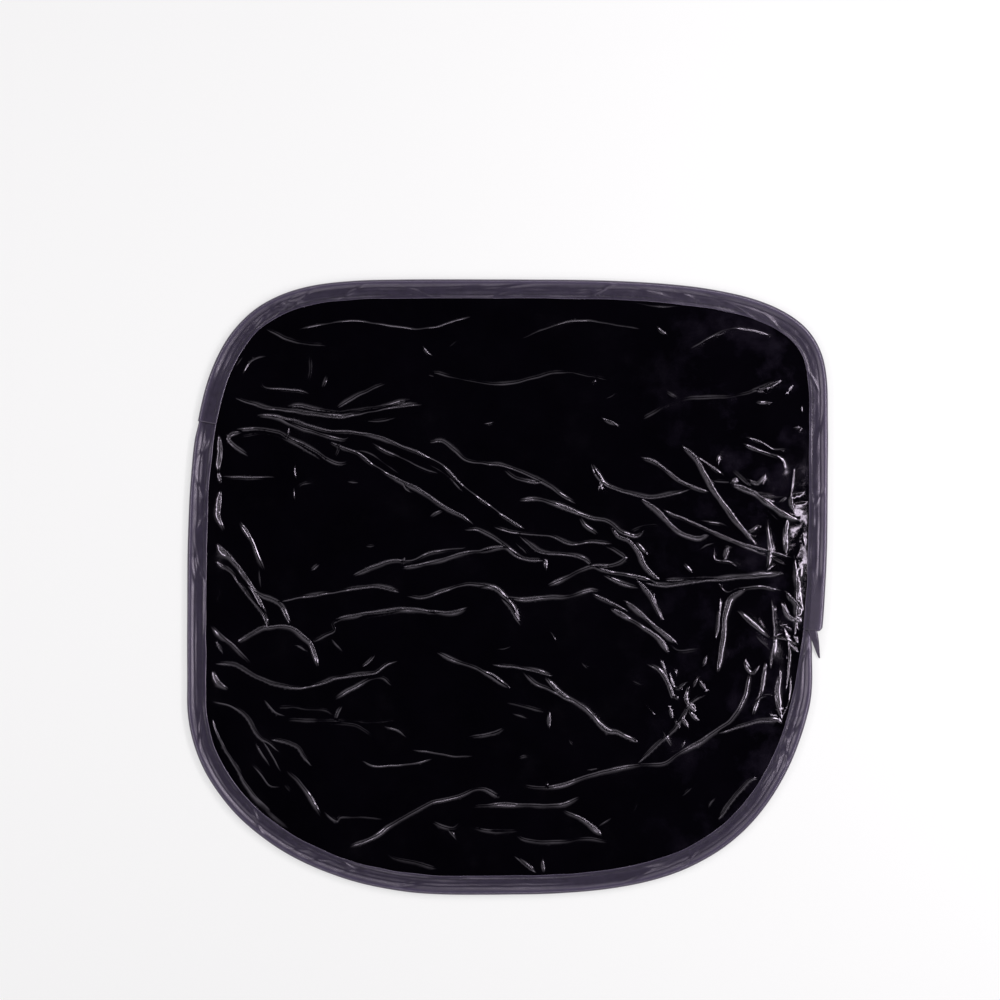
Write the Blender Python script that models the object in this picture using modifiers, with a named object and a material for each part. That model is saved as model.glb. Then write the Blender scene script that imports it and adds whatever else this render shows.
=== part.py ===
"""Static-cling car window sunshade, lying flat as it comes to rest.

A thin dark film is held round its edge in a folded fabric tape, and a spring wire hoop inside
the fold keeps the film stretched. Metres, +Z up, +Y towards the shade's top edge, with the
origin under the middle of the outline, on the surface that the shade lies on.
"""

import math

import bmesh
import bpy
from mathutils import Vector
from mathutils.geometry import delaunay_2d_cdt

# Outline, seen from above: four quarter curves that meet where the edge runs level or upright
SHADE_WIDTH = 0.402
SHADE_HEIGHT = 0.386
LEVEL_FROM_LEFT = 0.168
LEFT_WIDEST_ABOVE_BOTTOM = 0.124
RIGHT_WIDEST_BELOW_TOP = 0.090
LOWER_LEFT_FULLNESS = 2.06
LOWER_RIGHT_FULLNESS = 3.55
UPPER_LEFT_FULLNESS = 4.38
UPPER_RIGHT_FULLNESS = 3.8

# Rim tape, wire and film
RIM_WIDTH = 0.012
TAPE_THICKNESS = 0.0004
LEAF_SWELL = 0.00015
WIRE_RADIUS = 0.0006
FILM_THICKNESS = 0.00025
CLEARANCE = 0.0003

# Sleeve that joins the two ends of the wire in the bottom edge
SLEEVE_LENGTH = 0.008
SLEEVE_WALL = 0.0003
WIRE_END_GAP = 0.0006

# Where the upper tape's ends lap over the lower tape's ends
RIGHT_LAP_ABOVE_BOTTOM = 0.165
LEFT_LAP_BELOW_TOP = 0.089
NARROWEST_RIM = 0.0062

# Creases in the film, and the broader folds beside the rim
CREASE_WIDTH = 0.0046
CREASE_HEIGHT = 0.0009
FOLD_WIDTH = 0.013
FOLD_HEIGHT = 0.0012
CREASE_FADE = 0.004

# Fineness
OUTLINE_SAMPLES = 4000
STATION_SPACING = 0.0126
LAP_STATIONS = 2
DIP_STATIONS = 4
NOSE_STEP = math.radians(30)
LEAF_SHARES = (0.25, 0.6, 1.0)
WIRE_BEVEL_STEPS = 2
SLEEVE_SIDES = 16
MERGE_DISTANCE = 0.0001
SHARP_EDGE = math.radians(40)

# Sizes that follow from the ones above
DRAWN_IN_RADIUS = WIRE_RADIUS + CLEARANCE + TAPE_THICKNESS
CHANNEL_RADIUS = DRAWN_IN_RADIUS + CLEARANCE + TAPE_THICKNESS
MID_HEIGHT = CHANNEL_RADIUS
LEAF_HEIGHT = FILM_THICKNESS / 2 + CLEARANCE + TAPE_THICKNESS
LAPPED_LEAF_HEIGHT = LEAF_HEIGHT + CLEARANCE + TAPE_THICKNESS
WIRE_DIP = RIM_WIDTH - NARROWEST_RIM
FILM_EDGE_FROM_WIRE = CHANNEL_RADIUS - TAPE_THICKNESS + CLEARANCE
SLEEVE_RADIUS = WIRE_RADIUS + CLEARANCE + SLEEVE_WALL

# Each chain's points are shares of the outline's half width and half height, from its middle
CREASES = (
    ((-0.87, 0.61), (-0.54, 0.57), (-0.38, 0.52), (-0.20, 0.40), (-0.05, 0.28), (0.10, 0.13)),
    ((-0.86, 0.57), (-0.57, 0.49), (-0.46, 0.43), (-0.32, 0.34), (-0.20, 0.28), (-0.12, 0.20)),
    ((-0.86, 0.49), (-0.72, 0.50), (-0.60, 0.43), (-0.50, 0.40)),
    ((-0.48, 0.04), (-0.32, 0.08), (-0.14, 0.12), (-0.01, 0.12), (0.12, 0.08), (0.25, 0.07)),
    ((-0.12, 0.18), (-0.01, 0.19), (0.20, 0.13), (0.32, 0.14)),
    ((-0.26, 0.47), (-0.20, 0.46), (-0.07, 0.40), (0.03, 0.38), (0.20, 0.28)),
    ((0.05, 0.29), (0.17, 0.25), (0.29, 0.21), (0.39, 0.17), (0.47, 0.03)),
    ((0.28, 0.37), (0.35, 0.32), (0.46, 0.29), (0.56, 0.31)),
    ((0.60, 0.39), (0.68, 0.28), (0.77, 0.15)),
    ((0.55, 0.20), (0.72, 0.15), (0.89, 0.08)),
    ((0.42, 0.01), (0.63, 0.01), (0.81, 0.04)),
    ((-0.34, -0.04), (-0.12, 0.01), (-0.01, -0.03), (0.05, -0.12)),
    ((-0.72, -0.05), (-0.54, -0.01), (-0.38, 0.01)),
    ((-0.60, -0.18), (-0.54, -0.11), (-0.32, -0.08), (-0.12, -0.08)),
    ((-0.92, -0.12), (-0.83, -0.25), (-0.61, -0.32), (-0.47, -0.28), (-0.35, -0.25)),
    ((-0.89, 0.10), (-0.81, -0.01), (-0.75, -0.13), (-0.84, -0.18)),
    ((-0.23, -0.20), (-0.10, -0.27), (0.00, -0.33)),
    ((0.05, -0.28), (0.15, -0.34), (0.25, -0.39), (0.40, -0.50)),
    ((0.28, -0.03), (0.40, -0.11), (0.52, -0.21)),
    ((-0.44, -0.57), (-0.35, -0.58), (-0.10, -0.54)),
    ((-0.48, -0.84), (-0.32, -0.74), (-0.18, -0.67), (-0.05, -0.67)),
    ((0.06, -0.66), (0.28, -0.61), (0.49, -0.57), (0.66, -0.46), (0.85, -0.43)),
    ((-0.10, -0.71), (0.05, -0.71), (0.20, -0.70)),
    ((-0.17, -0.76), (0.02, -0.82), (0.29, -0.83)),
    ((-0.70, -0.59), (-0.63, -0.68), (-0.57, -0.76)),
    ((0.68, -0.03), (0.69, -0.12), (0.67, -0.28)),
    ((0.68, -0.03), (0.73, 0.02), (0.83, 0.02)),
    ((0.77, -0.28), (0.72, -0.39), (0.52, -0.52)),
    ((-0.55, 0.86), (-0.20, 0.80), (0.15, 0.84)),
    ((-0.70, 0.72), (-0.35, 0.67), (0.05, 0.70), (0.30, 0.64)),
    ((0.30, 0.88), (0.55, 0.78), (0.78, 0.62)),
    ((0.08, 0.57), (0.40, 0.53), (0.70, 0.55)),
)
FOLDS = (
    ((0.84, 0.40), (0.86, 0.10), (0.84, -0.16), (0.79, -0.36), (0.70, -0.53)),
    ((-0.84, -0.52), (-0.76, -0.67), (-0.63, -0.79)),
    ((-0.87, 0.36), (-0.895, 0.14), (-0.895, -0.20)),
)


def clear_scene():
    for obj in list(bpy.data.objects):
        bpy.data.objects.remove(obj, do_unlink=True)


def make_material(name, colour, roughness, metallic=0.0):
    material = bpy.data.materials.new(name)
    material.use_nodes = True
    shader = material.node_tree.nodes["Principled BSDF"]
    shader.inputs["Base Color"].default_value = (*colour, 1.0)
    shader.inputs["Roughness"].default_value = roughness
    shader.inputs["Metallic"].default_value = metallic
    return material


def add_object(name, data, material, collection):
    obj = bpy.data.objects.new(name, data)
    data.materials.append(material)
    collection.objects.link(obj)
    return obj


def outline_point(angle):
    """A point of the shade's outer edge, anticlockwise from its rightmost point."""
    across, up = math.cos(angle), math.sin(angle)
    if across >= 0:
        reach = SHADE_WIDTH - LEVEL_FROM_LEFT
        widest = SHADE_HEIGHT - RIGHT_WIDEST_BELOW_TOP
        fullness = UPPER_RIGHT_FULLNESS if up >= 0 else LOWER_RIGHT_FULLNESS
    else:
        reach = LEVEL_FROM_LEFT
        widest = LEFT_WIDEST_ABOVE_BOTTOM
        fullness = UPPER_LEFT_FULLNESS if up >= 0 else LOWER_LEFT_FULLNESS
    rise = SHADE_HEIGHT - widest if up >= 0 else widest
    x = math.copysign(reach * abs(across) ** (2 / fullness), across)
    y = math.copysign(rise * abs(up) ** (2 / fullness), up)
    return Vector((LEVEL_FROM_LEFT + x - SHADE_WIDTH / 2, widest + y - SHADE_HEIGHT / 2))


def spaced_evenly(points):
    """The chain again, with its points about one station spacing apart."""
    lengths = [(b - a).length for a, b in zip(points, points[1:])]
    count = round(sum(lengths) / STATION_SPACING)
    step = sum(lengths) / count
    spaced, walked, k = [points[0]], 0.0, 0
    for i in range(1, count):
        while walked + lengths[k] < i * step:
            walked += lengths[k]
            k += 1
        spaced.append(points[k].lerp(points[k + 1], (i * step - walked) / lengths[k]))
    return spaced + [points[-1]]


def rim_stations():
    """Places round the rim, anticlockwise from the right lap, and the number of the one at the left lap.

    Each is a point of the outer edge and the direction from it into the shade.
    """
    edge = [outline_point(2 * math.pi * i / OUTLINE_SAMPLES) for i in range(OUTLINE_SAMPLES)]
    right_height = RIGHT_LAP_ABOVE_BOTTOM - SHADE_HEIGHT / 2
    left_height = SHADE_HEIGHT / 2 - LEFT_LAP_BELOW_TOP
    right = min((p for p in edge if p.x > 0), key=lambda p: abs(p.y - right_height))
    left = min((p for p in edge if p.x < 0), key=lambda p: abs(p.y - left_height))
    start = edge.index(right)
    edge = edge[start:] + edge[:start]
    split = edge.index(left)
    upper = spaced_evenly(edge[: split + 1])
    lower = spaced_evenly(edge[split:] + edge[:1])
    ring = upper[:-1] + lower[:-1]
    stations = []
    for i, point in enumerate(ring):
        along = ring[(i + 1) % len(ring)] - ring[i - 1]
        stations.append((point, Vector((-along.y, along.x)).normalized()))
    return stations, len(upper) - 1


def wire_inset(index, count):
    """How far in from the edge the wire runs: drawn in at the right lap, and level a few stations away."""
    away = min(index % count, -index % count)
    dip = WIRE_DIP * math.cos(math.pi / 2 * min(away / DIP_STATIONS, 1)) ** 2
    return CHANNEL_RADIUS + dip


def channel_section(nose_inset, nose_radius, leaf_heights):
    """The tape's outer face across the rim, from the upper leaf round the nose to the lower leaf.

    Each point is its distance in from the edge and its height over the film's middle plane. The
    nose is a polygon drawn round its circle, so that the tape rests on a narrow flat.
    """
    corner = nose_radius / math.cos(NOSE_STEP / 2)
    angles = [(i - 0.5) * NOSE_STEP for i in range(round(math.pi / NOSE_STEP) + 2)]
    nose = [(nose_inset - corner * math.sin(a), corner * math.cos(a)) for a in angles]
    leaf_start = nose_inset + nose_radius
    insets = [leaf_start + share * (RIM_WIDTH - leaf_start) for share in LEAF_SHARES]
    leaf = list(zip(insets, leaf_heights))
    return leaf[::-1] + nose + [(inset, -height) for inset, height in leaf]


def swollen(height):
    """A leaf's heights across it, a little higher in the middle than at its fold and its edge."""
    return (height, height + LEAF_SWELL, height)


def upper_section(index, left_lap):
    """The upper tape's section, opened wide at both ends to take the lower tape's ends."""
    if index <= LAP_STATIONS:
        heights = (CHANNEL_RADIUS, CHANNEL_RADIUS, LAPPED_LEAF_HEIGHT)
    elif index == LAP_STATIONS + 1 or index >= left_lap - LAP_STATIONS:
        heights = swollen(LAPPED_LEAF_HEIGHT)
    else:
        heights = swollen(LEAF_HEIGHT)
    return channel_section(CHANNEL_RADIUS, CHANNEL_RADIUS, heights)


def lower_section(index, left_lap, count):
    """The lower tape's section, drawn in round the wire where its ends are tucked into the upper tape."""
    tucked = index <= left_lap or index >= count
    radius = DRAWN_IN_RADIUS if tucked else CHANNEL_RADIUS
    return channel_section(wire_inset(index, count), radius, swollen(LEAF_HEIGHT))


def section_row(station, section):
    point, inward = station
    return [(*(point + inward * inset), MID_HEIGHT + height) for inset, height in section]


def drawn_row(shape, row, positions):
    """Extrudes the last row of the tape's face to the next positions."""
    edges = [shape.edges.get(pair) for pair in zip(row, row[1:])]
    made = bmesh.ops.extrude_edge_only(shape, edges=edges)["geom"]
    fresh = {item for item in made if isinstance(item, bmesh.types.BMVert)}
    following = [next(e.other_vert(v) for e in v.link_edges if e.other_vert(v) in fresh) for v in row]
    for vertex, position in zip(following, positions):
        vertex.co = position
    return following


def add_tape(name, stations, sections, material, collection):
    """A folded tape: its outer face drawn along the rim section by section, then given its thickness."""
    rows = [section_row(station, section) for station, section in zip(stations, sections)]
    shape = bmesh.new()
    row = [shape.verts.new(position) for position in rows[0]]
    for pair in zip(row, row[1:]):
        shape.edges.new(pair)
    for positions in rows[1:]:
        row = drawn_row(shape, row, positions)
    shape.normal_update()
    lowest = min(shape.faces, key=lambda face: face.calc_center_median().z)
    if lowest.normal.z > 0:
        bmesh.ops.reverse_faces(shape, faces=shape.faces)
    mesh = bpy.data.meshes.new(name)
    shape.to_mesh(mesh)
    shape.free()
    mesh.shade_smooth()
    mesh.set_sharp_from_angle(angle=SHARP_EDGE)
    tape = add_object(name, mesh, material, collection)
    wall = tape.modifiers.new("tape thickness", "SOLIDIFY")
    wall.thickness = TAPE_THICKNESS
    wall.offset = -1.0
    wall.use_even_offset = True
    return tape


def ring_slice(stations, first, last):
    """The stations from the first number to the last, going on round the ring."""
    return [stations[i % len(stations)] for i in range(first, last + 1)]


def add_tapes(stations, left_lap, material, collection):
    count = len(stations)
    upper = [upper_section(i, left_lap) for i in range(left_lap + 1)]
    add_tape("upper_binding", ring_slice(stations, 0, left_lap), upper, material, collection)
    first, last = left_lap - LAP_STATIONS, count + LAP_STATIONS
    lower = [lower_section(i, left_lap, count) for i in range(first, last + 1)]
    add_tape("lower_binding", ring_slice(stations, first, last), lower, material, collection)


def wire_line(stations):
    return [point + inward * wire_inset(i, len(stations)) for i, (point, inward) in enumerate(stations)]


def add_wire(stations, wire_material, sleeve_material, collection):
    """The hoop, one wire whose ends meet in the middle of a straight stretch, and the sleeve over them."""
    line = wire_line(stations)
    lowest = min(range(len(line)), key=lambda i: line[i].y)
    line = line[lowest:] + line[:lowest]
    middle = (line[0] + line[1]) / 2
    along = (line[1] - line[0]).normalized()
    route = [middle + along * WIRE_END_GAP / 2, *line[1:], line[0], middle - along * WIRE_END_GAP / 2]

    curve = bpy.data.curves.new("spring_wire", "CURVE")
    curve.dimensions = "3D"
    curve.twist_mode = "Z_UP"
    curve.bevel_depth = WIRE_RADIUS
    curve.bevel_resolution = WIRE_BEVEL_STEPS
    curve.use_fill_caps = True
    spline = curve.splines.new("POLY")
    spline.points.add(len(route) - 1)
    for place, point in zip(spline.points, route):
        place.co = (*point, MID_HEIGHT, 1.0)
    add_object("spring_wire", curve, wire_material, collection)

    shape = bmesh.new()
    bmesh.ops.create_cone(shape, cap_ends=False, segments=SLEEVE_SIDES, radius1=SLEEVE_RADIUS,
                          radius2=SLEEVE_RADIUS, depth=SLEEVE_LENGTH)
    mesh = bpy.data.meshes.new("wire_sleeve")
    shape.to_mesh(mesh)
    shape.free()
    mesh.shade_smooth()
    sleeve = add_object("wire_sleeve", mesh, sleeve_material, collection)
    sleeve.location = (*middle, MID_HEIGHT)
    sleeve.rotation_mode = "QUATERNION"
    sleeve.rotation_quaternion = Vector((*along, 0.0)).to_track_quat("Z", "Y")
    wall = sleeve.modifiers.new("sleeve wall", "SOLIDIFY")
    wall.thickness = SLEEVE_WALL
    wall.offset = -1.0
    wall.use_even_offset = True


def laid_out(chains, width, height):
    """Crease chains in metres, each with its width and height."""
    half_width, half_height = SHADE_WIDTH / 2, SHADE_HEIGHT / 2
    return [([Vector((x * half_width, y * half_height)) for x, y in chain], width, height) for chain in chains]


def foot_line(chain, offset):
    """One foot of a crease: beside its ridge by the offset, and meeting it at both ends."""
    foot = [chain[0]]
    for before, here, after in zip(chain, chain[1:], chain[2:]):
        first, second = (here - before).normalized(), (after - here).normalized()
        across = Vector((-first.y - second.y, first.x + second.x)).normalized()
        lean = across.dot(Vector((-first.y, first.x)))
        foot.append(here + across * offset / lean)
    return foot + [chain[-1]]


def from_segment(place, start, end):
    """How far a place is from a segment, and how far along it the nearest point is, as a share."""
    along = end - start
    share = min(1.0, max(0.0, (place - start).dot(along) / along.length_squared))
    return (place - start - along * share).length, share


def film_lift(place, ridges, edge):
    """How far the film stands over its own plane at a place."""
    lift = 0.0
    for chain, width, height in ridges:
        last = len(chain) - 2
        for k, (start, end) in enumerate(zip(chain, chain[1:])):
            away, share = from_segment(place, start, end)
            full = min(share if k == 0 else 1.0, 1 - share if k == last else 1.0)
            if full > 0:
                lift = max(lift, height * full * (1 - away / (full * width / 2)))
    if lift == 0:
        return 0.0
    from_edge = min(from_segment(place, start, end)[0] for start, end in zip(edge, edge[1:] + edge[:1]))
    return lift * min(1.0, max(0.0, (from_edge - RIM_WIDTH) / CREASE_FADE))


def add_film(stations, material, collection):
    """The film: a flat sheet cut to the rim, folded up along each crease, then given its thickness."""
    edge = [point for point, _ in stations]
    line = wire_line(stations)
    points = [at + inward * FILM_EDGE_FROM_WIRE for at, (_, inward) in zip(line, stations)]
    border = list(range(len(points)))
    ridges = laid_out(CREASES, CREASE_WIDTH, CREASE_HEIGHT) + laid_out(FOLDS, FOLD_WIDTH, FOLD_HEIGHT)
    seams = []
    for chain, width, _ in ridges:
        for drawn in (foot_line(chain, width / 2), chain, foot_line(chain, -width / 2)):
            first = len(points)
            points += drawn
            seams += [(i, i + 1) for i in range(first, first + len(drawn) - 1)]
    flat, _, faces, *_ = delaunay_2d_cdt(points, seams, [border], 1, MERGE_DISTANCE)
    places = [(*place, MID_HEIGHT + film_lift(place, ridges, edge)) for place in flat]
    mesh = bpy.data.meshes.new("film_panel")
    mesh.from_pydata(places, [], faces)
    mesh.shade_smooth()
    film = add_object("film_panel", mesh, material, collection)
    wall = film.modifiers.new("film thickness", "SOLIDIFY")
    wall.thickness = FILM_THICKNESS
    wall.offset = 0.0


def main():
    clear_scene()
    collection = bpy.data.collections.new("car_sunshade")
    bpy.context.scene.collection.children.link(collection)
    film = make_material("static_cling_film", (0.006, 0.005, 0.009), 0.12)
    tape = make_material("binding_tape", (0.045, 0.043, 0.052), 0.75)
    steel = make_material("spring_steel", (0.55, 0.56, 0.58), 0.3, metallic=1.0)
    tin = make_material("sleeve_metal", (0.62, 0.61, 0.58), 0.4, metallic=1.0)
    stations, left_lap = rim_stations()
    add_film(stations, film, collection)
    add_tapes(stations, left_lap, tape, collection)
    add_wire(stations, steel, tin, collection)


main()
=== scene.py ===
"""The looks of a static-cling car window sunshade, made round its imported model. Metres, +Z up."""

import math

import bpy
import numpy as np
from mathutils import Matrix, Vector, noise
from mathutils.geometry import delaunay_2d_cdt


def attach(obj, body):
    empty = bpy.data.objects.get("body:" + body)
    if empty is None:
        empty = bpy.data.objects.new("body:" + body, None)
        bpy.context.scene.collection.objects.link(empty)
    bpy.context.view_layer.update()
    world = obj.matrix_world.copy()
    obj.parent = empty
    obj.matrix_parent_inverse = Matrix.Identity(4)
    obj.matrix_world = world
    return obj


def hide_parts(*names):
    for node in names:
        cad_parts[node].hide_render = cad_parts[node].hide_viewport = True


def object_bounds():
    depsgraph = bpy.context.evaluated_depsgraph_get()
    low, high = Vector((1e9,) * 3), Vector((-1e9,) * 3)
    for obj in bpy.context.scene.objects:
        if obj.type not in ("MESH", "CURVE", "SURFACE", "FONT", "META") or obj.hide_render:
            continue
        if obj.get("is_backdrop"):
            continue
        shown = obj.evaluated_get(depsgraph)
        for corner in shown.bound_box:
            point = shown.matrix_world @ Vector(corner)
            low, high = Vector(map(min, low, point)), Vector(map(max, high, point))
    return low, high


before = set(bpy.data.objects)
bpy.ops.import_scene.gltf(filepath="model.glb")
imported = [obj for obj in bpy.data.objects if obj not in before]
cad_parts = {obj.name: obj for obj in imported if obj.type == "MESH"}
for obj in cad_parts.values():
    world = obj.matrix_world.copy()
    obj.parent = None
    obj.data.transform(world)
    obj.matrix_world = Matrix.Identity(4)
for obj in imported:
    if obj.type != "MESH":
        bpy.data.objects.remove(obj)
cad_low, cad_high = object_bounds()
bpy.ops.object.select_all(action="DESELECT")


# Spring wire hoop. Real piece: 1.2 mm drawn carbon steel wire, wiped with oil so that it doesn't
# rust, bent to the shade's outline. It hides in the tape's fold, so it keeps its own solid.

def new_material(name):
    """A material with its nodes, its shader and a way to add and join nodes."""
    material = bpy.data.materials.new(name)
    material.use_nodes = True
    return material, material.node_tree.nodes, material.node_tree.links


def add_noise(nodes, links, places, scale, detail=2.0, roughness=0.5):
    """A noise pattern on the given places, as a value from 0 to 1."""
    pattern = nodes.new("ShaderNodeTexNoise")
    pattern.inputs["Scale"].default_value = scale
    pattern.inputs["Detail"].default_value = detail
    pattern.inputs["Roughness"].default_value = roughness
    links.new(places, pattern.inputs["Vector"])
    return pattern.outputs["Fac"]


def add_range(nodes, links, value, low, high, to_low, to_high):
    """The value carried from one range to another, and held at its ends."""
    carry = nodes.new("ShaderNodeMapRange")
    ends = {"From Min": low, "From Max": high, "To Min": to_low, "To Max": to_high}
    for socket, number in ends.items():
        carry.inputs[socket].default_value = number
    links.new(value, carry.inputs["Value"])
    return carry.outputs["Result"]


def add_colours(nodes, links, value, *stops):
    """The value as a colour, from stops of a place and a colour."""
    ramp = nodes.new("ShaderNodeValToRGB")
    elements = ramp.color_ramp.elements
    while len(elements) < len(stops):
        elements.new(0.5)
    for element, (place, colour) in zip(elements, stops):
        element.position = place
        element.color = (*colour, 1.0)
    links.new(value, ramp.inputs["Fac"])
    return ramp.outputs["Color"]


def add_bump(nodes, links, height, distance, strength, below=None):
    """A bump of the given depth in metres, on top of another one if there is one."""
    bump = nodes.new("ShaderNodeBump")
    bump.inputs["Distance"].default_value = distance
    bump.inputs["Strength"].default_value = strength
    links.new(height, bump.inputs["Height"])
    if below:
        links.new(below, bump.inputs["Normal"])
    return bump.outputs["Normal"]


wire_metal, nodes, links = new_material("oiled_spring_wire")
shader = nodes["Principled BSDF"]
shader.inputs["Metallic"].default_value = 1.0
places = nodes.new("ShaderNodeTexCoord").outputs["Object"]
grain = add_noise(nodes, links, places, 900.0, 3.0)
links.new(add_colours(nodes, links, grain, (0.3, (0.40, 0.41, 0.43)), (0.7, (0.60, 0.61, 0.63))),
          shader.inputs["Base Color"])
links.new(add_range(nodes, links, grain, 0.2, 0.8, 0.22, 0.42), shader.inputs["Roughness"])
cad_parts["spring_wire"].data.materials.clear()
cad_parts["spring_wire"].data.materials.append(wire_metal)


# Wire sleeve. Real piece: a short tinned steel tube, crimped over the wire's two ends in the
# middle of the bottom edge. It hides in the tape's fold, so it keeps its own solid.

sleeve_metal, nodes, links = new_material("tinned_sleeve")
shader = nodes["Principled BSDF"]
shader.inputs["Metallic"].default_value = 1.0
places = nodes.new("ShaderNodeTexCoord").outputs["Object"]
clouding = add_noise(nodes, links, places, 1400.0, 4.0)
links.new(add_colours(nodes, links, clouding, (0.3, (0.50, 0.49, 0.46)), (0.7, (0.68, 0.67, 0.64))),
          shader.inputs["Base Color"])
links.new(add_range(nodes, links, clouding, 0.2, 0.8, 0.3, 0.55), shader.inputs["Roughness"])
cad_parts["wire_sleeve"].data.materials.clear()
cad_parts["wire_sleeve"].data.materials.append(sleeve_metal)


# Cling film. Real piece: a sheet of soft glossy black vinyl 0.25 mm thick, cut to the outline and
# held stretched by the hoop. Being twisted and folded for storage has left long sharp creases
# across it, with softer folds where it runs up to the tape.

SHADE_WIDTH = cad_high.x - cad_low.x
SHADE_HEIGHT = cad_high.y - cad_low.y
LEVEL_FROM_LEFT = 0.168
LEFT_WIDEST_ABOVE_BOTTOM = 0.124
RIGHT_WIDEST_BELOW_TOP = 0.090
LOWER_LEFT_FULLNESS = 2.06
LOWER_RIGHT_FULLNESS = 3.55
UPPER_LEFT_FULLNESS = 4.38
UPPER_RIGHT_FULLNESS = 3.8
OUTLINE_SAMPLES = 8000
RIGHT_LAP_ABOVE_BOTTOM = 0.165
LEFT_LAP_BELOW_TOP = 0.089
RIM_WIDTH = 0.012
MID_HEIGHT = (cad_high.z - cad_low.z) / 2
FOLD_RADIUS = 0.002
WIRE_DIP = 0.0058
DIP_REACH = 0.0504
FILM_THICKNESS = 0.00025
FILM_EDGE_FROM_WIRE = 0.0019

# The photograph's scale, and the pixel of its 1000 x 1000 frame where the shade's middle lies
PIXEL = 0.000628
MIDDLE_PIXEL = (507.5, 586.9)

# Creases, as chains of pixels read off the photograph: tall sharp ones, short thin ones,
# plain ones and faint ones
TALL_CREASES = (
    ((611, 527), (618, 536), (629, 541), (638, 552), (643, 564), (650, 573), (658, 579)),
    ((636, 580), (648, 592), (654, 605), (660, 617)),
    ((744, 589), (730, 598), (725, 614), (722, 642), (718, 670)),
    ((682, 447), (696, 460), (710, 486), (723, 504), (737, 523), (754, 543)),
    ((547, 679), (563, 695), (583, 706), (605, 728), (618, 732), (636, 741)),
    ((739, 611), (753, 624), (769, 637)),
    ((649, 664), (659, 670), (668, 683), (672, 697)),
    ((688, 687), (685, 699), (695, 711)),
    ((565, 811), (583, 819), (600, 833)),
    ((785, 592), (804, 611)),
    ((612, 609), (627, 617), (641, 626), (657, 637), (667, 651)),
    ((626, 602), (641, 614), (659, 630), (675, 642)),
    ((732, 485), (751, 492), (767, 503), (785, 516), (797, 520)),
    ((240, 641), (260, 629), (268, 627), (291, 627), (304, 637), (312, 645), (318, 665)),
    ((249, 586), (261, 595), (280, 603), (290, 622)),
    ((241, 432), (231, 435), (229, 440), (237, 447), (248, 455)),
    ((786, 520), (784, 539), (785, 552)),
    ((727, 546), (724, 558)),
    ((644, 582), (664, 585), (687, 582), (721, 578), (755, 575), (781, 573)),
    ((642, 500), (657, 511), (670, 525), (684, 535), (698, 538), (707, 535)),
    ((218, 544), (231, 558), (249, 581), (266, 612)),
    ((781, 605), (788, 617), (801, 621)),
    ((220, 436), (221, 452), (219, 470)),
    ((221, 492), (220, 505), (219, 515), (224, 529)),
    ((214, 672), (219, 682), (227, 688)),
)
SHORT_CREASES = (
    ((549, 712), (549, 726)),
    ((517, 857), (528, 865), (536, 872)),
    ((542, 858), (544, 872)),
    ((784, 626), (793, 630)),
    ((788, 644), (798, 653)),
    ((793, 637), (797, 643)),
    ((664, 732), (671, 745)),
    ((681, 747), (684, 741)),
    ((660, 660), (664, 669)),
    ((769, 637), (783, 638), (798, 645)),
    ((219, 472), (221, 482)),
    ((218, 642), (223, 651)),
    ((669, 708), (672, 718)),
    ((675, 719), (679, 727)),
    ((677, 689), (685, 682)),
    ((689, 711), (697, 720)),
    ((681, 717), (687, 726)),
    ((697, 678), (693, 686)),
    ((706, 656), (703, 665)),
    ((744, 662), (747, 669), (753, 673), (758, 666)),
    ((730, 484), (736, 478)),
    ((748, 480), (757, 484), (764, 476)),
    ((780, 502), (787, 496)),
    ((802, 532), (804, 545)),
    ((545, 559), (546, 568)),
    ((593, 466), (601, 479), (599, 489)),
    ((637, 543), (646, 553)),
)
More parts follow.
